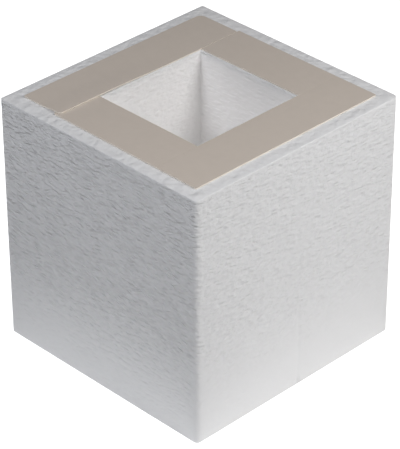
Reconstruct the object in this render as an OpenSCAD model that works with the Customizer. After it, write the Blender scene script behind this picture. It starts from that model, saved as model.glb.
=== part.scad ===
// Foam block: a moulded block of expanded polystyrene with a blind square well in its
// top face, and four strips of double-sided foam tape stuck round the mouth of the well.
// Each strip still has its release liner on. The left strip went on last: its front end
// climbs over the end of the front strip. Millimetres, +Z up, origin at the centre of
// the underside. The trimmed side with sharp edges faces -X, the round edges face +X.

/* [Block] */
// Width of the block along X
block_w = 196; // [180:1:240]
// Depth of the block along Y
block_d = 200; // [180:1:240]
// Height of the block without the tape
block_h = 200; // [60:1:300]
// Radius of the two upright edges at the +X side
edge_r = 4; // [2:0.5:20]

/* [Well] */
// Width of the well along X
well_w = 97; // [20:0.5:105]
// Depth of the well along Y
well_d = 98; // [20:0.5:105]
// Thickness of foam left under the well
floor_t = 50; // [5:1:55]
// Radius of the well's upright corners
well_r = 1.5; // [0.5:0.5:8]

/* [Parting line] */
// Distance of the parting line from the middle of the +X face, along Y
seam_offset = 2; // [-30:0.5:30]
// How far the parting line runs up from the underside
seam_h = 90; // [12:1:180]
// Width of the parting line's groove at the surface
seam_w = 1; // [0.4:0.1:3]
// Depth of the parting line's groove
seam_deep = 0.5; // [0.2:0.1:1.5]
// Height of the nick at the foot of the parting line
nick_h = 9; // [2:0.5:10]
// Width of the nick at the surface
nick_w = 1.8; // [0.6:0.1:4]
// Depth of the nick
nick_deep = 1.4; // [0.4:0.1:3]

/* [Tape] */
// Width of the two long strips, at the -X and +X sides
long_tape_w = 38; // [10:0.5:40]
// Width of the two short strips, at the -Y and +Y sides
short_tape_w = 39; // [10:0.5:39.5]
// Thickness of the foam tape without its liner
tape_t = 1; // [0.5:0.1:3]
// Thickness of the release liner
liner_t = 0.1; // [0.05:0.05:0.3]
// Bare foam between the well and the left strip
left_ledge = 0.6; // [0.3:0.1:3]
// Bare foam between the well and the right strip
right_ledge = 0.3; // [0:0.1:3]
// Bare foam between the well and the front strip
front_ledge = 1.1; // [0:0.1:1.8]
// Bare foam between the well and the back strip
back_ledge = 0.8; // [0:0.1:1.8]
// How much shorter the left strip stops at each end than the right one
left_stop = 1.8; // [0:0.1:10]
// Turn of the left strip in degrees, its front end swung outwards, as it was stuck down
left_skew = 0.2; // [0:0.1:0.5]
// Radius of the left strip's rear outer corner
rear_corner_r = 5; // [1:0.5:9]
// Radius of the left strip's front inner corner
front_corner_r = 2; // [1:0.5:4]
// Gap between the left strip and the end of the back strip
joint_gap = 0.4; // [0.2:0.1:3]
// Gap between the short strips and the right strip
butt_gap = 0.1; // [0.1:0.1:1]
// How far the end of the front strip runs under the left one
lap = 4.5; // [1:0.5:8]
// Width of the ramp on which the left strip climbs over that end
ramp_w = 10; // [3:0.5:15]
// Length over which the left strip comes down again behind the front strip
fall_l = 62; // [20:1:90]

/* [Hidden] */

$fn = 48;
// Overshoot of a cut past the face that it opens
over = 1;

foam_white = [0.93, 0.935, 0.94];
tape_cream = [0.90, 0.87, 0.82];
liner_beige = [0.74, 0.69, 0.63];

well_h = block_h - floor_t;
liner_z = block_h + tape_t;

// The strips line the well. front_y and back_y are the outer edges of the short strips,
// and the right strip ends flush with them.
left_x = -(well_w / 2 + left_ledge + long_tape_w / 2);
right_x = well_w / 2 + right_ledge + long_tape_w / 2;
front_y = -(well_d / 2 + front_ledge + short_tape_w);
back_y = well_d / 2 + back_ledge + short_tape_w;
left_len = back_y - front_y - 2 * left_stop;

// How far the left strip's turn moves its inner edge at its two ends
swing = left_len / 2 * sin(left_skew);
// Ends of the short strips: the front one runs under the left strip, the back one clears it
left_inner_x = left_x + long_tape_w / 2;
front_x0 = left_inner_x - swing - lap;
back_x0 = left_inner_x + swing + joint_gap;
short_x1 = right_x - long_tape_w / 2 - butt_gap;

// The left strip is a grid of stations across (from its outer edge) and along (from its
// front end). It is lifted by one strip's thickness where it lies on the front strip.
lift = tape_t + liner_t;
lap_clear = 0.5;
ramp_x0 = long_tape_w - lap - 2 * swing - lap_clear - ramp_w;
fall_y0 = short_tape_w - left_stop + lap_clear;
ramp_steps = 4;
fall_steps = 6;
arc_steps = 4;
across = concat(
    [0],
    [for (i = [0 : ramp_steps]) ramp_x0 + ramp_w * i / ramp_steps],
    [long_tape_w]
);
along = concat(
    [for (i = [0 : arc_steps]) front_corner_r * (1 - cos(90 * i / arc_steps))],
    [for (i = [0 : fall_steps]) fall_y0 + fall_l * i / fall_steps],
    [for (i = [0 : arc_steps]) left_len - rear_corner_r * (1 - sin(90 * i / arc_steps))]
);

// Smooth step from 0 to 1 as t goes from 0 to 1
function ease(t) = let (u = max(0, min(1, t))) u * u * (3 - 2 * u);

// Height of the left strip's underside above the block
function rise(a, b) = lift * ease((a - ramp_x0) / ramp_w) * (1 - ease((b - fall_y0) / fall_l));

// How far a corner of radius r cuts in, at distance d from the strip's end
function corner_in(r, d) = d < r ? r - sqrt(r * r - (r - d) * (r - d)) : 0;

// A station pulled in at the rear outer corner and at the front inner one
function station(a, b) = max(
    corner_in(rear_corner_r, left_len - b),
    min(long_tape_w - corner_in(front_corner_r, b), a)
);

// Outline of the block: square corners at -X, round corners at +X
module block_outline() {
    union() {
        translate([-block_w / 2, -block_d / 2])
            square([block_w - edge_r, block_d]);
        translate([block_w / 2 - edge_r, -block_d / 2 + edge_r])
            square([edge_r, block_d - 2 * edge_r]);
        for (side = [-1, 1])
            translate([block_w / 2 - edge_r, side * (block_d / 2 - edge_r)])
                circle(edge_r);
    }
}

// A rectangle about the origin with all four corners round
module round_rect(w, d, r) {
    union() {
        square([w - 2 * r, d], center = true);
        square([w, d - 2 * r], center = true);
        for (x = [-1, 1], y = [-1, 1])
            translate([x * (w / 2 - r), y * (d / 2 - r)])
                circle(r);
    }
}

// A V-shaped groove up the +X face, drawn in plan and carried upwards
module face_groove(width, depth, height) {
    translate([block_w / 2, seam_offset, -over])
        linear_extrude(height + over)
            polygon([
                [over, -width / 2 * (1 + over / depth)],
                [over, width / 2 * (1 + over / depth)],
                [-depth, 0]
            ]);
}

module foam_block() {
    color(foam_white)
        difference() {
            linear_extrude(block_h)
                block_outline();
            translate([0, 0, floor_t])
                linear_extrude(well_h + over)
                    round_rect(well_w, well_d, well_r);
            face_groove(seam_w, seam_deep, seam_h);
            face_groove(nick_w, nick_deep, nick_h);
        }
}

// One layer of the left strip, t thick, with its underside z above its place on the block.
// Its grid has an underside and a top, joined along the four sides.
module left_layer(z, t) {
    na = len(across);
    nb = len(along);
    n = na * nb;
    points = [
        for (h = [z, z + t], b = along, a = across)
            let (x = station(a, b)) [x, b, h + rise(x, b)]
    ];
    cells = [for (j = [0 : nb - 2], i = [0 : na - 2]) j * na + i];
    rim = concat(
        [for (i = [0 : na - 2]) i],
        [for (j = [0 : nb - 2]) j * na + na - 1],
        [for (i = [na - 1 : -1 : 1]) (nb - 1) * na + i],
        [for (j = [nb - 1 : -1 : 1]) j * na]
    );
    m = len(rim);
    faces = concat(
        [for (c = cells) [c, c + 1, c + na]],
        [for (c = cells) [c + 1, c + na + 1, c + na]],
        [for (c = cells) [n + c, n + c + na, n + c + 1]],
        [for (c = cells) [n + c + 1, n + c + na, n + c + na + 1]],
        [for (k = [0 : m - 1]) [rim[k], n + rim[k], rim[(k + 1) % m]]],
        [for (k = [0 : m - 1]) [rim[(k + 1) % m], n + rim[k], n + rim[(k + 1) % m]]]
    );
    translate([left_x, (front_y + back_y) / 2, block_h])
        rotate(-left_skew)
            translate([-long_tape_w / 2, -left_len / 2])
                polyhedron(points, faces);
}

module right_plan() {
    translate([right_x - long_tape_w / 2, front_y])
        square([long_tape_w, back_y - front_y]);
}

module front_plan() {
    translate([front_x0, front_y])
        square([short_x1 - front_x0, short_tape_w]);
}

module back_plan() {
    translate([back_x0, well_d / 2 + back_ledge])
        square([short_x1 - back_x0, short_tape_w]);
}

// One flat layer of foam tape on the top face of the block
module tape_layer() {
    color(tape_cream)
        translate([0, 0, block_h])
            linear_extrude(tape_t)
                children();
}

// One flat release liner on top of its tape
module liner_layer() {
    color(liner_beige)
        translate([0, 0, liner_z])
            linear_extrude(liner_t)
                children();
}

module tape_left() { color(tape_cream) left_layer(0, tape_t); }
module tape_right() { tape_layer() right_plan(); }
module tape_front() { tape_layer() front_plan(); }
module tape_back() { tape_layer() back_plan(); }
module liner_left() { color(liner_beige) left_layer(tape_t, liner_t); }
module liner_right() { liner_layer() right_plan(); }
module liner_front() { liner_layer() front_plan(); }
module liner_back() { liner_layer() back_plan(); }

foam_block();
tape_left();
tape_right();
tape_front();
tape_back();
liner_left();
liner_right();
liner_front();
liner_back();
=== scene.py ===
# %% [markdown]
# # A moulded foam block with its mounting tape
# The object is a near-cube of expanded polystyrene with a square well in its top. Four strips
# of double-sided foam tape are stuck round the mouth of the well, and each strip still has its
# paper release liner on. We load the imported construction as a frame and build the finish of
# every piece around it: the beaded skin of the foam, the cut edges of the tape and the soft
# sheen of the liners.

import math

import bpy
import numpy as np
from mathutils import Matrix, Vector


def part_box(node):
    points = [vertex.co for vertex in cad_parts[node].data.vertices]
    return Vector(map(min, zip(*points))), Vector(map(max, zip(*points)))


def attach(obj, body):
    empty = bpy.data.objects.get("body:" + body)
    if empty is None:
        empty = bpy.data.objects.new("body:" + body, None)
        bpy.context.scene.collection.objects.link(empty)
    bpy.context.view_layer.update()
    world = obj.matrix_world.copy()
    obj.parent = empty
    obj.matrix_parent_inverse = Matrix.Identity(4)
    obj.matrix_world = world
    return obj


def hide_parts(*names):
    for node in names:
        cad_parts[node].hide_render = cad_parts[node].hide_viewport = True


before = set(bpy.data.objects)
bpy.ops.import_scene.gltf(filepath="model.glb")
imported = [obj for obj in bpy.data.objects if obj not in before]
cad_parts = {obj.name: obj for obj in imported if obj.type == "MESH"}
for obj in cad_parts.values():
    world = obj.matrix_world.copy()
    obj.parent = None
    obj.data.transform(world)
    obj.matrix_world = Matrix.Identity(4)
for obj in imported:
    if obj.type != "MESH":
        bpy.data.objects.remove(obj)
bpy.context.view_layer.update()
MM = 0.001

# %% [markdown]
# ## Measures from the frame
# The block's own box gives its width, depth and height. The well has no node of its own, but
# the block's mesh has corners on the well's floor, well inside the outer faces: their extent
# is the well's size, and their height is the floor's.


# %% Block and well measures
WELL_REACH = 0.6  # share of the block's half width within which corners belong to the well


def node_points(node):
    """All vertices of a construction node, as an array of rows x, y, z."""
    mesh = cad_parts[node].data
    points = np.empty(len(mesh.vertices) * 3, np.float32)
    mesh.vertices.foreach_get("co", points)
    return points.reshape(-1, 3).astype(float)


block_lo, block_hi = (np.array(corner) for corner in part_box("foam_block"))
block_points = node_points("foam_block")
well_points = block_points[np.abs(block_points[:, :2]).max(axis=1) < WELL_REACH * block_hi[0]]
well_lo = well_points.min(axis=0)
well_hi = well_points.max(axis=0)
BLOCK_H = block_hi[2]
WELL_FLOOR = well_lo[2]
print("block in mm:", np.round((block_hi - block_lo) / MM, 1))
print("well in mm:", np.round((well_hi - well_lo) / MM, 1), "floor at", round(WELL_FLOOR / MM, 1))

# %% [markdown]
# ## Camera
# A long lens from far away, as catalogue pictures of small goods are taken, so the uprights
# stay nearly parallel. The camera stands 45 degrees round from the front, between the front
# face and the right one, and looks down at 32 degrees. `back` points from the object to the
# camera. The small roll and the small offsets along the camera's own axes set the framing.

# %% Camera
CAM_AZIMUTH = math.radians(45.45)
CAM_ELEVATION = math.radians(32.45)
CAM_ROLL = math.radians(-0.22)
CAM_DISTANCE = 1.779
CAM_LENS = 196.6
CAM_SENSOR = 36.0
CAM_RAISE = -0.0036
CAM_TARGET = Vector((0, 0, 0.098))


def view_axes(azimuth, elevation, roll):
    """The camera's right, up and back unit vectors, turned about the line of sight by roll."""
    back = Vector((
        math.sin(azimuth) * math.cos(elevation),
        -math.cos(azimuth) * math.cos(elevation),
        math.sin(elevation),
    ))
    right = Vector((math.cos(azimuth), math.sin(azimuth), 0))
    up = back.cross(right)
    turned_right = right * math.cos(roll) + up * math.sin(roll)
    turned_up = up * math.cos(roll) - right * math.sin(roll)
    return turned_right, turned_up, back


cam_right, cam_up, cam_back = view_axes(CAM_AZIMUTH, CAM_ELEVATION, CAM_ROLL)
camera_data = bpy.data.cameras.new("camera")
camera_data.sensor_width = CAM_SENSOR
camera_data.lens = CAM_LENS
camera = bpy.data.objects.new("camera", camera_data)
camera.matrix_world = (
    Matrix.Translation(CAM_TARGET + cam_back * CAM_DISTANCE + cam_up * CAM_RAISE)
    @ Matrix((cam_right, cam_up, cam_back)).transposed().to_4x4()
)
bpy.context.scene.collection.objects.link(camera)
bpy.context.scene.camera = camera
print("camera at", [round(c, 3) for c in camera.matrix_world.translation])

# %% [markdown]
# ## Noise worked out as arrays
# The skin of a moulded block needs two fields. One is smooth noise: random numbers at the
# corners of a cubic lattice, blended between them. The other is a bead field: one random
# centre in each cell of a lattice, and for each point the distances to the nearest and the
# second nearest centre. Both use a hash of the lattice cell, so they give the same answer
# every time and need no stored table.


# %% Hash, smooth noise and bead field
HASH_FACTORS = (73856093, 19349663, 83492791, 2654435761)  # for x, y, z and the seed
HASH_MIXERS = (1274126177, 2246822519)  # odd factors that spread the bits
HASH_BITS = 0xFFFFFFFF
SHARE_BITS = 0xFFFFFF
BEAD_FAR = 9.0  # further, in bead sizes, than any centre that is looked at

# One seed for each random field, so that no two of them look alike.
SEED_BEADS = 11
SEED_LONG_WAVES = 3
SEED_SHORT_WAVES = 4
SEED_SEAM = 5
SEED_FLOAT = 21


def cell_hash(cell, seed):
    """Random numbers from 0 to 1 for integer lattice cells: multiply, mix the bits, scale."""
    x, y, z = (cell[..., k].astype(np.int64) for k in range(3))
    fx, fy, fz, fs = HASH_FACTORS
    h = (x * fx) ^ (y * fy) ^ (z * fz) ^ (seed * fs)
    h = (h ^ (h >> 13)) * HASH_MIXERS[0] & HASH_BITS
    h = (h ^ (h >> 16)) * HASH_MIXERS[1] & HASH_BITS
    h = h ^ (h >> 15)
    return (h & SHARE_BITS) / float(SHARE_BITS + 1)


def smooth_noise(points, size, seed):
    """Value noise from -1 to 1: lattice values blended by the cubic 3t^2 - 2t^3 on each axis."""
    scaled = points / size
    cell = np.floor(scaled).astype(np.int64)
    t = scaled - cell
    t = t * t * (3 - 2 * t)
    total = np.zeros(points.shape[:-1])
    for corner in np.ndindex(2, 2, 2):
        corner = np.array(corner)
        weight = np.prod(np.where(corner == 1, t, 1 - t), axis=-1)
        total += weight * cell_hash(cell + corner, seed)
    return total * 2 - 1


def bead_field(points, size, seed):
    """Distances, in bead sizes, to the nearest and second nearest of the jittered centres."""
    scaled = points / size
    cell = np.floor(scaled).astype(np.int64)
    nearest = np.full(points.shape[:-1], BEAD_FAR)
    second = nearest.copy()
    for step in np.ndindex(3, 3, 3):
        near_cell = cell + np.array(step) - 1
        jitter = np.stack([cell_hash(near_cell, seed + k) for k in range(3)], axis=-1)
        distance = np.linalg.norm(near_cell + jitter - scaled, axis=-1)
        second = np.minimum(second, np.maximum(nearest, distance))
        nearest = np.minimum(nearest, distance)
    return nearest, second


def ease(t):
    """Smooth step: 0 below 0, 1 above 1, and 3t^2 - 2t^3 between."""
    t = np.clip(t, 0, 1)
    return t * t * (3 - 2 * t)


# %% [markdown]
# ## The foam block
# Expanded polystyrene is blown from beads of 3 to 5 mm, fused by steam in a closed mould.
# Against the mould the beads flatten into a skin of small plates with wrinkled faces and fine
# grooves between them. The block is one closed surface, and the neatest way to draw it is a
# profile carried along a path: the path is the outline seen from above, and the profile runs
# from the middle of the underside out to the edge, up the side, in over the rim, down the
# well and to the middle of the well's floor. Every column of the grid belongs to one point
# of the outer outline and one point of the well's outline, so the rim between them is a
# straight blend of the two.


# %% Stations along the outlines
EDGE_STEPS = np.array([0.0, 0.4, 0.8]) * MM  # close stations at each end of a side
EDGE_ZONE = 1.3 * MM  # where the even stations begin


def outline_point(s, half, radii, side):
    """Points and outward normals of a rounded rectangle, at distances s along one side.

    A side starts and ends in the middle of its two corner arcs. Along a quarter arc of radius
    r the angle is the distance over r. Between the arcs the side is straight.
    """
    turn = side * math.pi / 2
    along = np.array([math.cos(turn), math.sin(turn)])
    outward = np.array([math.sin(turn), -math.cos(turn)])
    half_along = half[0] if side % 2 == 0 else half[1]
    half_out = half[1] if side % 2 == 0 else half[0]
    r0, r1 = radii[side], radii[(side + 1) % 4]
    straight = 2 * half_along - r0 - r1
    arc0, arc1 = r0 * math.pi / 4, r1 * math.pi / 4
    angle0 = np.clip((arc0 - s) / r0, 0, None)
    angle1 = np.clip((s - arc0 - straight) / r1, 0, None)
    angle = angle1 - angle0
    middle = np.clip(s - arc0, 0, straight)
    a = -half_along + r0 + middle + np.sin(angle1) * r1 - np.sin(angle0) * r0
    b = half_out - (1 - np.cos(angle1)) * r1 - (1 - np.cos(angle0)) * r0
    points = a[:, None] * along + b[:, None] * outward
    normals = np.sin(angle)[:, None] * along + np.cos(angle)[:, None] * outward
    return points, normals


def side_length(half, radii, side):
    """Length of one side between the middles of its corner arcs."""
    r0, r1 = radii[side], radii[(side + 1) % 4]
    half_along = half[0] if side % 2 == 0 else half[1]
    return 2 * half_along - (r0 + r1) * (1 - math.pi / 4)


def side_stations(length, step, extra=()):
    """Distances along a side: close steps at both ends, even steps between, and extras."""
    count = int(round((length - 2 * EDGE_ZONE) / step))
    even = np.linspace(EDGE_ZONE, length - EDGE_ZONE, count + 1)
    s = np.concatenate([EDGE_STEPS, even, length - EDGE_STEPS[:0:-1]])
    for place in extra:
        s[np.argmin(np.abs(s - place))] = place
    return s


# %% Outlines of the block and of its well
GRID_STEP = 1.68 * MM
SHARP_R = 1.2 * MM  # upright edges of the trimmed side
MOULDED_R = 4.0 * MM  # upright edges of the moulded side
WELL_R = 1.5 * MM
SEAM_Y = 2.0 * MM  # the parting line's distance from the middle of the right face
SEAM_STEPS = np.array([-1.6, -0.7, 0.0, 0.7, 1.6]) * MM

block_half = (block_hi[:2] - block_lo[:2]) / 2
well_half = (well_hi[:2] - well_lo[:2]) / 2
block_radii = [SHARP_R, MOULDED_R, MOULDED_R, SHARP_R]
well_radii = [WELL_R] * 4

outer_xy, outer_n, well_xy, well_n = [], [], [], []
for side in range(4):
    length = side_length(block_half, block_radii, side)
    well_length = side_length(well_half, well_radii, side)
    seam = length / 2 + SEAM_Y + SEAM_STEPS if side == 1 else ()
    s = side_stations(length, GRID_STEP, seam)
    stretch = (well_length - 2 * EDGE_ZONE) / (length - 2 * EDGE_ZONE)
    inner = EDGE_ZONE + (s - EDGE_ZONE) * stretch
    far_end = np.where(s > length - EDGE_ZONE, s - length + well_length, inner)
    s_well = np.where(s < EDGE_ZONE, s, far_end)
    for distances, half, radii, points, normals in (
        (s, block_half, block_radii, outer_xy, outer_n),
        (s_well, well_half, well_radii, well_xy, well_n),
    ):
        p, n = outline_point(distances, half, radii, side)
        points.append(p)
        normals.append(n)
outer_xy, outer_n, well_xy, well_n = (
    np.concatenate(parts) for parts in (outer_xy, outer_n, well_xy, well_n)
)
print("columns round the block:", len(outer_xy))

# %% [markdown]
# ## The profile
# Seen in section the outer side is a straight line with a small quarter round at its top and
# bottom, because even a crisp moulded edge is a millimetre or so soft. The mouth of the well
# is rounded the same way. Each row of the grid is a pair: how far the outline is pulled in,
# and the height. On the rim, the rows blend from the outer outline to the well's.


# %% Rows of the grid
def quarter(steps):
    """Angles of a quarter turn, ends included."""
    return np.linspace(0, math.pi / 2, steps + 1)


BOTTOM_R = 1.0 * MM
TOP_R = 0.6 * MM
MOUTH_R = 0.9 * MM
WELL_FLOOR_R = 3.0 * MM
SIDE_ROWS = 119
RIM_ROWS = 13
WELL_ROWS = 30
FLAT_ROWS = 5
CENTRE_SHARE = 0.02  # the innermost ring's share of its outline
ARC_STEPS = 3
MOUTH_STEPS = 2
FLOOR_EDGE_SHARE = 0.8  # of the well's corner radius, so that the corner never shrinks to a point


def block_grid():
    """The block's rows, bottom centre to well-floor centre, as an array rows x columns x 3."""
    def ring(xy, z):
        return np.concatenate([xy, np.full((len(xy), 1), z)], axis=1)

    rows = []
    edge = outer_xy - BOTTOM_R * outer_n
    for share in np.linspace(0, 1, FLAT_ROWS + 1)[:-1]:
        rows.append(ring(edge * max(share, CENTRE_SHARE), 0.0))
    for angle in quarter(ARC_STEPS):
        rows.append(ring(outer_xy - BOTTOM_R * (1 - math.sin(angle)) * outer_n,
                         BOTTOM_R * (1 - math.cos(angle))))
    for z in np.linspace(BOTTOM_R, BLOCK_H - TOP_R, SIDE_ROWS + 1)[1:-1]:
        rows.append(ring(outer_xy, z))
    for angle in quarter(ARC_STEPS):
        rows.append(ring(outer_xy - TOP_R * (1 - math.cos(angle)) * outer_n,
                         BLOCK_H - TOP_R * (1 - math.sin(angle))))
    rim_out = outer_xy - TOP_R * outer_n
    rim_in = well_xy + MOUTH_R * well_n
    for share in np.linspace(0, 1, RIM_ROWS + 1)[1:-1]:
        rows.append(ring(rim_out * (1 - share) + rim_in * share, BLOCK_H))
    for angle in quarter(MOUTH_STEPS):
        rows.append(ring(well_xy + MOUTH_R * (1 - math.sin(angle)) * well_n,
                         BLOCK_H - MOUTH_R * (1 - math.cos(angle))))
    for z in np.linspace(BLOCK_H - MOUTH_R, WELL_FLOOR + WELL_FLOOR_R, WELL_ROWS + 1)[1:-1]:
        rows.append(ring(well_xy, z))
    edge_r = FLOOR_EDGE_SHARE * WELL_R
    for angle in quarter(ARC_STEPS):
        rows.append(ring(well_xy - edge_r * (1 - math.cos(angle)) * well_n,
                         WELL_FLOOR + WELL_FLOOR_R * (1 - math.sin(angle))))
    floor_edge = well_xy - edge_r * well_n
    for share in np.linspace(1, 0, FLAT_ROWS + 1)[1:]:
        rows.append(ring(floor_edge * max(share, CENTRE_SHARE), WELL_FLOOR))
    return np.stack(rows)


grid = block_grid()
print("grid rows and columns:", grid.shape[:2], "quads:", (grid.shape[0] - 1) * grid.shape[1])

# %% [markdown]
# ## Relief of the skin
# Each grid point moves a little along its normal. The moulded sides are gently wavy, and the
# beads stand proud of the grooves between them by about a tenth of a millimetre. The rim and
# the well are smoother, because the mould's core was polished to let the block off. Down the
# middle of the right face runs the line where the mould's halves met, with a nick at its
# foot. Detail finer than the grid is left to the material's bump.


# %% Normals and skin weights of the grid
def grid_normals(points):
    """Unit normals: cross product of the differences along the columns and the rows."""
    across = np.roll(points, -1, axis=1) - np.roll(points, 1, axis=1)
    down = np.gradient(points, axis=0)
    normal = np.cross(across, down)
    return normal / np.maximum(np.linalg.norm(normal, axis=-1, keepdims=True), 1e-12)


LOW_SHARE = 0.2  # of the relief is left below FADE_START, and all of it FADE_LENGTH higher
FADE_START = 15 * MM
FADE_LENGTH = 75 * MM
RIGHT_CUT = 0.6
REAR_CUT = 0.45
TRIM_CUT = 0.6
WELL_CUT = 0.8
WELL_BLEND = 20 * MM
RIM_SHARE = 0.4
RIM_FROM = 2.2 * MM  # below the top, where the rim's share begins
RIM_BLEND = 1.6 * MM
TRIM_FROM = 2 * MM
TRIM_BLEND = 1.5 * MM
FACE_FROM = 5 * MM  # inside a face, where that face's own share begins
FACE_BLEND = 4 * MM


def skin_weight(points):
    """How strong the skin's relief is, from 0 to 1: 1 high on the front face.

    Smooth steps make it weaker on the right face, the rear, the trimmed left face, the rim and
    the well, and toward the bottom. The shares are multiplied together.
    """
    x, y, z = (points[..., k] for k in range(3))
    mid_wall = 0.5 * (well_half[0] + block_half[0])
    inside = ease((mid_wall - np.maximum(np.abs(x), np.abs(y))) / WELL_BLEND + 0.5)
    rim = ease((z - BLOCK_H + RIM_FROM) / RIM_BLEND)
    weight = (1 - WELL_CUT * inside) * (1 - rim) + RIM_SHARE * rim
    trimmed = ease((-x - block_half[0] + TRIM_FROM) / TRIM_BLEND)
    on_right = ease((x - block_half[0] + FACE_FROM) / FACE_BLEND)
    at_rear = ease((y - block_half[1] + FACE_FROM) / FACE_BLEND)
    sides = (1 - TRIM_CUT * trimmed) * (1 - RIGHT_CUT * on_right) * (1 - REAR_CUT * at_rear)
    height_share = LOW_SHARE + (1 - LOW_SHARE) * ease((z - FADE_START) / FADE_LENGTH)
    return weight * sides * height_share


BEAD = 4.4 * MM
BEAD_RELIEF = 0.14 * MM
GROOVE_W = 0.35  # width of the groove round a bead, in bead sizes
BEAD_LEVEL = 0.6  # lowers the beads so that their mean height is near zero
BEAD_DOME = 0.35  # how much a bead's middle stands above its border
WAVE_RELIEF = 0.14 * MM
LONG_WAVE = 34 * MM
SHORT_WAVE = 13 * MM
SEAM_DEPTH = 0.45 * MM
SEAM_HALF_W = 0.9 * MM
SEAM_TOP = 90 * MM
SEAM_FADE = 30 * MM
SEAM_WANDER = 0.3 * MM
SEAM_WANDER_SIZE = 20 * MM
NICK_DEPTH = 1.3 * MM
NICK_HALF_W = 1.3 * MM
NICK_TOP = 9 * MM
NICK_FADE = 4 * MM
SEAM_FROM = 1.5 * MM  # inside the right face, where the parting line's cut begins


def skin_height(points):
    """Height of the skin above the plain form: waves, plus beads, less the parting line."""
    nearest, second = bead_field(points, BEAD, SEED_BEADS)
    beads = ease((second - nearest) / GROOVE_W) - BEAD_LEVEL + BEAD_DOME * (0.5 - nearest)
    waves = smooth_noise(points, LONG_WAVE, SEED_LONG_WAVES)
    waves += 0.5 * smooth_noise(points, SHORT_WAVE, SEED_SHORT_WAVES)
    x, y, z = (points[..., k] for k in range(3))
    on_right = ease((x - block_half[0] + SEAM_FROM) / MM)
    wander = SEAM_WANDER * smooth_noise(points, SEAM_WANDER_SIZE, SEED_SEAM)
    off_seam = np.abs(y - SEAM_Y - wander)
    line = np.clip(1 - off_seam / SEAM_HALF_W, 0, 1) * ease((SEAM_TOP - z) / SEAM_FADE)
    nick = np.clip(1 - off_seam / NICK_HALF_W, 0, 1) * ease((NICK_TOP - z) / NICK_FADE)
    relief = skin_weight(points) * (BEAD_RELIEF * beads + WAVE_RELIEF * waves)
    return relief - on_right * (SEAM_DEPTH * line + NICK_DEPTH * nick)


# Painted light: the rim gets a fifth of the well's lighter painted tone, and the well gets all of
# it below the mouth.
RIM_PAINTED_LIGHT = 0.2
MOUTH_BLEND = 2 * MM


def painted_light_share(points):
    """How much painted light to mix into the foam's colour: 1 in the well, a fifth on the rim, 0
    outside.
    """
    x, y, z = (points[..., k] for k in range(3))
    inside = np.maximum(np.abs(x) - well_half[0], np.abs(y) - well_half[1]) < MM
    rim = RIM_PAINTED_LIGHT * ease((z - BLOCK_H + MM) / MM)
    return np.maximum(inside * ease((BLOCK_H - z) / MOUTH_BLEND), rim)


UNDERSIDE_BLEND = 1.5 * MM  # the underside stays flat, so the relief starts above it

weights = skin_weight(grid)
# inner holds the share of painted light at each point: a lighter tone standing in for light bounced
# round the well.
inner = painted_light_share(grid)
flat_under = ease(grid[..., 2:3] / UNDERSIDE_BLEND)
skin = grid + grid_normals(grid) * skin_height(grid)[..., None] * flat_under
print("relief in mm:", np.round([(skin - grid).min() / MM, (skin - grid).max() / MM], 2))


# %% [markdown]
# ## From arrays to a mesh
# Blender needs a list of points and a list of faces. The grid's columns close on themselves,
# so its quads wrap round like a tube, and a fan of triangles closes each end of the tube: one
# under the block, one on the well's floor. Two numbers go with each point for the material to
# read, `skin` for the relief and `inner` for painted light: a lighter tone in the well, and a
# fifth of it on the rim, standing in for the light that bounces round inside the well.

# %% A mesh from a closed grid
def mesh_object(name, points, quads, caps=()):
    """A mesh object from an array of points and an array of quads, plus fans of triangles."""
    mesh = bpy.data.meshes.new(name)
    faces = [tuple(q) for q in quads.tolist()] + [tuple(c) for c in caps]
    mesh.from_pydata(points.reshape(-1, 3).tolist(), [], faces)
    mesh.polygons.foreach_set("use_smooth", np.ones(len(mesh.polygons), bool))
    mesh.update()
    obj = bpy.data.objects.new(name, mesh)
    bpy.context.scene.collection.objects.link(obj)
    return obj


def tube_quads(rows, columns):
    """Quads of a grid whose columns close on themselves."""
    r, c = np.meshgrid(np.arange(rows - 1), np.arange(columns), indexing="ij")
    after = (c + 1) % columns
    here, below = r * columns, (r + 1) * columns
    corners = [here + c, here + after, below + after, below + c]
    return np.stack(corners, axis=-1).reshape(-1, 4)


def ring_cap(start, columns, centre, flip):
    """Triangles from a ring of points to its centre."""
    first = start + np.arange(columns)
    after = start + (np.arange(columns) + 1) % columns
    middle = np.full(columns, centre)
    order = [after, first, middle] if flip else [first, after, middle]
    return np.stack(order, axis=-1).tolist()


def add_attribute(obj, name, values):
    """A number for each vertex, which a material can read by name."""
    attribute = obj.data.attributes.new(name, "FLOAT", "POINT")
    attribute.data.foreach_set("value", values.ravel().astype(np.float32))


rows, columns = skin.shape[:2]
inner_rows = skin[1:-1]
count = (rows - 2) * columns
ends = np.array([[0, 0, 0], [0, 0, WELL_FLOOR]])
block_skin = mesh_object(
    "foam_block_skin",
    np.concatenate([inner_rows.reshape(-1, 3), ends]),
    tube_quads(rows - 2, columns),
    ring_cap(0, columns, count, True) + ring_cap((rows - 3) * columns, columns, count + 1, False),
)
CAP_SKIN = 0.45  # the relief at the two closing points
add_attribute(block_skin, "skin", np.append(weights[1:-1].ravel(), [CAP_SKIN, CAP_SKIN]))
# inner is painted light: 1 gives the foam the lighter painted tone of the lit well, and the well
# floor's centre gets all of it.
add_attribute(block_skin, "inner", np.append(inner[1:-1].ravel(), [0.0, 1.0]))
print("block skin triangles:", 2 * (rows - 3) * columns + 2 * columns)

# %% [markdown]
# ## The tape and its liners
# Each strip is two layers: a foam carrier 1 mm thick, and the siliconised paper that keeps its
# upper adhesive clean. Both are slabs over the same plan, so one function draws them: a grid of
# points for the underside, the same grid lifted for the top, and a wall of a few rings between
# them that bulges slightly, as soft foam does where a blade has pressed it. The left strip
# went on last. Its inner edge lies on the end of the front strip, so that edge rises by one
# strip's thickness there and comes down slowly beyond it.


# %% The slab
SLAB_SHARP = math.radians(40)  # edges turned by more than this are shaded as sharp
WALL_STEPS = 4


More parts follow.
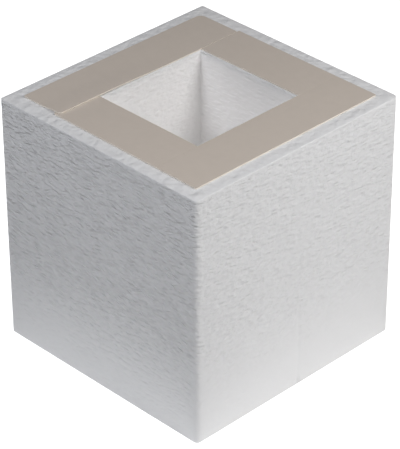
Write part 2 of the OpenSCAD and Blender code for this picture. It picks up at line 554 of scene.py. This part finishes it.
def slab(name, place, across, along, base, thickness, bulge, wall_steps):
    """A closed slab over a plan.

    place turns grid coordinates into x and y, base gives the height of the underside, and the
    wall's rings stand out by bulge times the sine of their share of the height.
    """
    a, b = np.meshgrid(across, along, indexing="xy")
    xy = place(a, b)
    lower = np.concatenate([xy, base(a, b)[..., None]], axis=-1)
    upper = lower + np.array([0, 0, thickness])
    rows, columns = a.shape
    index = np.arange(rows * columns).reshape(rows, columns)
    loop = np.concatenate([index[0, :-1], index[:-1, -1], index[-1, :0:-1], index[:0:-1, 0]])
    flat = lower.reshape(-1, 3)
    tangent = np.roll(flat[loop], -1, axis=0) - np.roll(flat[loop], 1, axis=0)
    outward = np.stack([tangent[:, 1], -tangent[:, 0], np.zeros(len(loop))], axis=-1)
    outward /= np.linalg.norm(outward, axis=1, keepdims=True)
    shares = np.arange(1, wall_steps) / wall_steps
    rings = [
        flat[loop] + np.array([0, 0, thickness * t]) + outward * bulge * math.sin(math.pi * t)
        for t in shares
    ]
    n = rows * columns
    points = np.concatenate([flat, upper.reshape(-1, 3)] + rings)
    cell = index[:-1, :-1].ravel()
    under = np.stack([cell, cell + columns, cell + columns + 1, cell + 1], axis=-1)
    over = np.stack([cell, cell + 1, cell + columns + 1, cell + columns], axis=-1) + n
    levels = [loop] + [2 * n + k * len(loop) + np.arange(len(loop)) for k in range(len(rings))]
    levels.append(loop + n)
    walls = [
        np.stack([low, np.roll(low, -1), np.roll(high, -1), high], axis=-1)
        for low, high in zip(levels[:-1], levels[1:])
    ]
    piece = mesh_object(name, points, np.concatenate([under, over] + walls))
    piece.data.set_sharp_from_angle(angle=SLAB_SHARP)
    return piece


# %% Plans of the strips
TAPE_T = 1.0 * MM
LINER_T = 0.1 * MM
LEFT_SKEW = math.radians(0.2)
EDGE_BULGE = 0.05 * MM
EDGE_LIFT = 1.26 * MM  # clears the front strip, which is TAPE_T + LINER_T high
RAMP_W = 24 * MM
FALL_START = 45 * MM  # from the front end, just beyond the front strip
FALL_L = 65 * MM
REAR_R = 5 * MM
FRONT_R = 2 * MM
BACK_R = 2 * MM
SMALL_R = 0.8 * MM
STRIP_STEP = 1.6 * MM
STRIP_ARC_STEPS = 5


def corner_in(radius, distance):
    """How far a round corner cuts in, at a distance from the strip's end."""
    reach = np.clip(radius - distance, 0, None)
    return radius - np.sqrt(np.clip(radius**2 - reach**2, 0, None))


def end_stations(length, radius0, radius1):
    """Stations along a strip: arc steps at both ends and even steps between."""
    arc = quarter(STRIP_ARC_STEPS)
    start = radius0 * (1 - np.cos(arc))
    finish = length - radius1 * (1 - np.sin(arc))
    count = int((length - radius0 - radius1) / STRIP_STEP)
    even = np.linspace(radius0, length - radius1, count + 1)[1:-1]
    return np.concatenate([start, even, finish])


def strip_plan(width, length, corners, to_plan):
    """Stations across and along, and the function that places them.

    corners are the radii at the front outer, front inner, rear outer and rear inner corner.
    """
    front_outer, front_inner, rear_outer, rear_inner = corners
    across = np.linspace(0, width, int(width / STRIP_STEP) + 1)
    along = end_stations(length, max(front_outer, front_inner), max(rear_outer, rear_inner))

    def place(a, b):
        low = np.maximum(corner_in(front_outer, b), corner_in(rear_outer, length - b))
        high = width - np.maximum(corner_in(front_inner, b), corner_in(rear_inner, length - b))
        return to_plan(low + (high - low) * a / width, b)

    return across, along, place


# %% [markdown]
# A hand-laid strip is never quite flat: where the roller missed it the tape floats a few
# hundredths of a millimetre. That is enough for the liner's sheen to drift a little along
# the strip, so the base height carries a trace of smooth noise.


# %% Heights of the strips
FLOAT_HALF = 0.03 * MM
FLOAT_SIZE = 22 * MM


def float_noise(xy):
    """Twice FLOAT_HALF at most of smooth noise above the block, one field for all strips."""
    points = np.concatenate([xy, np.zeros_like(xy[..., :1])], axis=-1)
    return FLOAT_HALF * (smooth_noise(points, FLOAT_SIZE, SEED_FLOAT) + 1)


def strip(name, box_node, corners):
    """A flat strip that fills its construction node's box: foam tape, with its liner on top."""
    lo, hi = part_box(box_node)
    width, length = hi.x - lo.x, hi.y - lo.y
    across, along, place = strip_plan(
        width, length, corners, lambda a, b: np.stack([lo.x + a, lo.y + b], axis=-1))
    return two_layers(name, place, across, along, lambda a, b: float_noise(place(a, b)))


def two_layers(name, place, across, along, rise):
    """The foam tape on the block's top, and the liner on the tape."""
    tape = slab(name + "_tape", place, across, along,
                lambda a, b: BLOCK_H + rise(a, b), TAPE_T, EDGE_BULGE, WALL_STEPS)
    liner = slab(name + "_liner", place, across, along,
                 lambda a, b: BLOCK_H + TAPE_T + rise(a, b), LINER_T, 0.0, 1)
    return tape, liner


def left_strip():
    """The left strip: turned a little, and lifted where it lies on the front strip.

    Across the strip the lift is a smooth step over its inner RAMP_W, and along the strip it
    falls by another smooth step over FALL_L.
    """
    points = node_points("tape_left")
    lo, hi = points.min(axis=0), points.max(axis=0)
    centre = (lo + hi) / 2
    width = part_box("tape_right")[1].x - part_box("tape_right")[0].x
    length = (hi[1] - lo[1] - width * math.sin(LEFT_SKEW)) / math.cos(LEFT_SKEW)
    c, s = math.cos(LEFT_SKEW), math.sin(LEFT_SKEW)

    def to_plan(a, b):
        u, v = a - width / 2, b - length / 2
        return np.stack([centre[0] + c * u + s * v, centre[1] - s * u + c * v], axis=-1)

    across, along, place = strip_plan(
        width, length, (SMALL_R, FRONT_R, REAR_R, SMALL_R), to_plan)

    def rise(a, b):
        climb = ease((a - width + RAMP_W) / RAMP_W) * (1 - ease((b - FALL_START) / FALL_L))
        return EDGE_LIFT * climb + float_noise(place(a, b))

    return two_layers("left", place, across, along, rise)


STRIPS = {"left": left_strip()}
STRIPS["right"] = strip("right", "tape_right", (SMALL_R,) * 4)
STRIPS["front"] = strip("front", "tape_front", (SMALL_R,) * 4)
STRIPS["back"] = strip("back", "tape_back", (SMALL_R, BACK_R, SMALL_R, SMALL_R))
for side_name, layers in STRIPS.items():
    print(side_name, [len(layer.data.polygons) for layer in layers])

# %% [markdown]
# ## Helpers for materials
# Colours are given as sRGB hex, as a colour card gives them, and one function turns them into
# the linear numbers that Blender's shaders work in. One more adds a node, sets its values and
# links its inputs, so that a material reads as a list of what feeds what.


# %% Colour and node helpers
def linear(hex_colour):
    """Linear colour from sRGB hex: divide by 12.92 near black, else raise to the power 2.4."""
    channels = [int(hex_colour[k:k + 2], 16) / 255 for k in (1, 3, 5)]
    return [c / 12.92 if c <= 0.04045 else ((c + 0.055) / 1.055) ** 2.4 for c in channels] + [1.0]


def add_node(material, kind, settings=None, **inputs):
    """Adds a node. settings are its properties. An input is a value, or another node's output."""
    tree = material.node_tree
    node = tree.nodes.new(kind)
    for key, value in (settings or {}).items():
        setattr(node, key, value)
    for key, value in inputs.items():
        name = key.replace("_", " ")
        numbered = key[0] == "n" and key[1:].isdigit()
        socket = node.inputs[int(key[1:]) if numbered else name]
        if isinstance(value, bpy.types.NodeSocket):
            tree.links.new(value, socket)
        else:
            socket.default_value = value
    return node


def new_material(name, colour, **values):
    """A material with one Principled shader, whose plain values are set on its own sockets."""
    material = bpy.data.materials.new(name)
    material.use_nodes = True
    shader = material.node_tree.nodes["Principled BSDF"]
    shader.inputs["Base Color"].default_value = linear(colour)
    for key, value in values.items():
        shader.inputs[key.replace("_", " ")].default_value = value
    return material, shader


# %% [markdown]
# ## Expanded polystyrene
# Polystyrene is clear; the foam is white because light bounces between the walls of its
# thousands of cells, so the colour is a bright neutral white with a rough, dull surface, and
# the skin of each bead gives it a faint gloss. The bump has two parts, soft round beads and
# the wrinkles where the skin puckered as it cooled. Both are solid patterns in object space,
# so they run across the edges as the beads do. The space is squashed first: the grain comes
# out about two and a half times wider than it is high, as it is on this moulding. The
# attribute `skin` says how strong the bump is at each place, and `inner` mixes in painted
# light: a lighter tone in the well, and a fifth of it on the rim, standing in for the light
# that bounces round inside the well.

# %% Expanded polystyrene material
SQUASH = (0.65, 0.65, 1.6)
WARP_SIZE = 9 * MM
WARP_REACH = 3 * MM
WRINKLE = 2.4 * MM
BUMP_DEPTH = 2.6 * MM
# The second tone is painted light: a lighter white for the well and rim that stands in for bounced
# light, not a different foam.
OUTER_TONE, PAINTED_WELL_LIGHT_TONE = "#E7E7E7", "#FBFAF9"
eps, eps_shader = new_material("expanded_polystyrene", OUTER_TONE, Roughness=0.62, IOR=1.45)
eps_place = add_node(eps, "ShaderNodeTexCoord").outputs["Object"]
eps_skin = add_node(eps, "ShaderNodeAttribute", {"attribute_name": "skin"}).outputs["Fac"]
eps_painted_light = add_node(eps, "ShaderNodeAttribute", {"attribute_name": "inner"}).outputs["Fac"]
squat = add_node(eps, "ShaderNodeVectorMath", {"operation": "MULTIPLY"},
                 n0=eps_place, n1=SQUASH).outputs[0]
warp = add_node(eps, "ShaderNodeTexNoise", Vector=squat, Scale=1 / WARP_SIZE, Detail=1.0)
warp_step = add_node(eps, "ShaderNodeVectorMath", {"operation": "SUBTRACT"},
                     n0=warp.outputs["Color"], n1=(0.5, 0.5, 0.5))
warp_size = add_node(eps, "ShaderNodeVectorMath", {"operation": "SCALE"},
                     n0=warp_step.outputs[0], Scale=WARP_REACH)
warped = add_node(eps, "ShaderNodeVectorMath", {"operation": "ADD"},
                  n0=squat, n1=warp_size.outputs[0]).outputs[0]
beads = add_node(eps, "ShaderNodeTexVoronoi", {"feature": "SMOOTH_F1"},
                 Vector=warped, Scale=1 / BEAD, Smoothness=0.6)
wrinkle = add_node(eps, "ShaderNodeTexNoise", Vector=warped, Scale=1 / WRINKLE,
                   Detail=1.0, Roughness=0.4)
height = add_node(eps, "ShaderNodeMath", {"operation": "MULTIPLY_ADD"},
                  n0=beads.outputs["Distance"], n1=-1.0, n2=wrinkle.outputs["Fac"])
weighted = add_node(eps, "ShaderNodeMath", {"operation": "MULTIPLY"},
                    n0=height.outputs[0], n1=eps_skin)
eps_bump = add_node(eps, "ShaderNodeBump", Height=weighted.outputs[0], Distance=BUMP_DEPTH,
                    Strength=1.0)
# Mixes the painted light tone into the foam's own white by the inner attribute.
painted_light_mix = add_node(eps, "ShaderNodeMix", {"data_type": "RGBA"}, n0=eps_painted_light,
                n6=linear(OUTER_TONE), n7=linear(PAINTED_WELL_LIGHT_TONE))
eps.node_tree.links.new(painted_light_mix.outputs[2], eps_shader.inputs["Base Color"])
eps.node_tree.links.new(eps_bump.outputs["Normal"], eps_shader.inputs["Normal"])
print("expanded polystyrene:", len(eps.node_tree.nodes), "nodes")

# %% [markdown]
# ## Foam tape
# The carrier is closed-cell polyethylene foam, cream-white and dull, with cells of about half
# a millimetre cut open along the edge. Only that edge shows, so it gets a fine cell pattern.

# %% Foam tape material
FOAM_CELL = 0.45 * MM
foam, foam_shader = new_material("polyethylene_foam_tape", "#F3ECE2", Roughness=0.8, IOR=1.5)
foam_place = add_node(foam, "ShaderNodeTexCoord").outputs["Object"]
cells = add_node(foam, "ShaderNodeTexVoronoi", Vector=foam_place, Scale=1 / FOAM_CELL)
foam_tone = add_node(foam, "ShaderNodeMix", {"data_type": "RGBA"},
                     n0=cells.outputs["Distance"], n6=linear("#F6F0E7"), n7=linear("#E9E0D3"))
foam_bump = add_node(foam, "ShaderNodeBump", Height=cells.outputs["Distance"],
                     Distance=0.08 * MM, Strength=0.6)
foam.node_tree.links.new(foam_tone.outputs[2], foam_shader.inputs["Base Color"])
foam.node_tree.links.new(foam_bump.outputs["Normal"], foam_shader.inputs["Normal"])

# %% [markdown]
# ## Release liner
# The liner is calendered kraft paper with a cured silicone film on it: a beige sheet with a
# soft, broad sheen. Paper is cloudy when light falls on it, because its fibres settle in
# clumps a few millimetres across, and its surface has a faint, fine grain.

# %% Release liner material
CLOUD = 6 * MM
GRAIN = 0.8 * MM
paper, paper_shader = new_material("siliconised_release_paper", "#D3C8BC", Roughness=0.55, IOR=1.42)
paper_place = add_node(paper, "ShaderNodeTexCoord").outputs["Object"]
clouds = add_node(paper, "ShaderNodeTexNoise", Vector=paper_place, Scale=1 / CLOUD, Detail=3.0)
paper_tone = add_node(paper, "ShaderNodeMix", {"data_type": "RGBA"},
                      n0=clouds.outputs["Fac"], n6=linear("#D0C5B9"), n7=linear("#D6CBBF"))
grain = add_node(paper, "ShaderNodeTexNoise", Vector=paper_place, Scale=1 / GRAIN, Detail=2.0)
paper_bump = add_node(paper, "ShaderNodeBump", Height=grain.outputs["Fac"],
                      Distance=0.02 * MM, Strength=0.5)
paper.node_tree.links.new(paper_tone.outputs[2], paper_shader.inputs["Base Color"])
paper.node_tree.links.new(paper_bump.outputs["Normal"], paper_shader.inputs["Normal"])


# %% [markdown]
# ## The pieces take their places
# Each piece gets its one material, rides on the body called root and stands in for its own
# construction node. The block is one moulding, and each strip is two layers.

# %% Hand the pieces to the frame
def hand_over(piece, material, node):
    """Gives a piece its material, ties it to the body and lets it stand for its node."""
    piece.data.materials.append(material)
    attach(piece, "root")
    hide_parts(node)


hand_over(block_skin, eps, "foam_block")
for side_name, (tape, liner) in STRIPS.items():
    hand_over(tape, foam, "tape_" + side_name)
    hand_over(liner, paper, "liner_" + side_name)

# %% [markdown]
# ## Floor and light
# A pale sweep that burns out to white is what small white goods are shown on. Its light comes
# back up and brightens the lower part of each upright face. So the floor has two levels of
# glow: to the block, a soft pool close round it, and to the camera, plain white all over.

# %% Floor
FLOOR_R = 4.0
FLOOR_SIDES = 64
POOL_NEAR, POOL_FAR = 0.13, 0.22  # the pool fades out between these distances
POOL_GLOW, FLOOR_GLOW = 0.43, 0.03
floor_mesh = bpy.data.meshes.new("floor")
turns = np.linspace(0, 2 * math.pi, FLOOR_SIDES + 1)[:-1]
floor_ring = np.stack([FLOOR_R * np.cos(turns), FLOOR_R * np.sin(turns), 0 * turns], axis=-1)
floor_mesh.from_pydata(floor_ring.tolist(), [], [tuple(range(FLOOR_SIDES))])
floor = bpy.data.objects.new("floor", floor_mesh)
bpy.context.scene.collection.objects.link(floor)
floor_paint, floor_shader = new_material("pale_floor", "#F2F2F2", Roughness=0.9)
floor_place = add_node(floor_paint, "ShaderNodeTexCoord").outputs["Object"]
floor_reach = add_node(floor_paint, "ShaderNodeVectorMath", {"operation": "LENGTH"}, n0=floor_place)
floor_glow = add_node(floor_paint, "ShaderNodeMapRange", {"interpolation_type": "SMOOTHSTEP"},
                      Value=floor_reach.outputs["Value"], From_Min=POOL_NEAR, From_Max=POOL_FAR,
                      To_Min=POOL_GLOW, To_Max=FLOOR_GLOW)
floor_seen = add_node(floor_paint, "ShaderNodeLightPath").outputs["Is Camera Ray"]
floor_white = add_node(floor_paint, "ShaderNodeMath", {"operation": "MAXIMUM"},
                       n0=floor_glow.outputs["Result"], n1=floor_seen)
floor_paint.node_tree.links.new(floor_white.outputs[0], floor_shader.inputs["Emission Strength"])
floor_shader.inputs["Emission Color"].default_value = linear("#FFFFFF")
floor.data.materials.append(floor_paint)

# %% [markdown]
# ## Lights
# The key light stands to the right and slightly behind, so the right face is bright and the
# front face isn't grazed by it, which would make its skin look coarse. A weaker box stands
# close by, a cool one in front lights the front face, and a low one behind keeps the rear
# faces from going black. The world gives almost no light; to the camera it is white.


# %% Lights
WORLD_LIGHT = 0.01


def softbox(name, azimuth, elevation, distance, width, height, power, colour):
    """A rectangular light aimed at the block: azimuth and elevation in degrees, watts of power."""
    data = bpy.data.lights.new(name, "AREA")
    data.shape = "RECTANGLE"
    data.size, data.size_y = width, height
    data.energy = power
    data.color = linear(colour)[:3]
    light = bpy.data.objects.new(name, data)
    right, up, back = view_axes(math.radians(azimuth), math.radians(elevation), 0)
    light.matrix_world = (
        Matrix.Translation(CAM_TARGET + back * distance)
        @ Matrix((right, up, back)).transposed().to_4x4()
    )
    bpy.context.scene.collection.objects.link(light)


world = bpy.data.worlds.new("studio")
bpy.context.scene.world = world
world.use_nodes = True
world.node_tree.nodes["Background"].inputs["Color"].default_value = linear("#FFFFFF")
world_seen = world.node_tree.nodes.new("ShaderNodeLightPath").outputs["Is Camera Ray"]
world_level = world.node_tree.nodes.new("ShaderNodeMath")
world_level.operation = "MAXIMUM"
world_level.inputs[1].default_value = WORLD_LIGHT
world.node_tree.links.new(world_seen, world_level.inputs[0])
world.node_tree.links.new(
    world_level.outputs[0], world.node_tree.nodes["Background"].inputs["Strength"])
softbox("right", 105, 45, 1.2, 0.5, 0.6, 6.7, "#FFFEFE")
softbox("right_near", 108, 25, 0.6, 0.3, 0.4, 0.5, "#FFFEFE")
softbox("back_fill", 225, 4, 1.2, 0.8, 0.3, 1.3, "#FFFFFF")
softbox("front", -7, 45, 1.2, 0.4, 0.6, 5.5, "#F7F9FF")
bpy.context.scene.view_settings.view_transform = "Standard"
bpy.context.scene.cycles.max_bounces = 16
bpy.context.scene.cycles.diffuse_bounces = 12
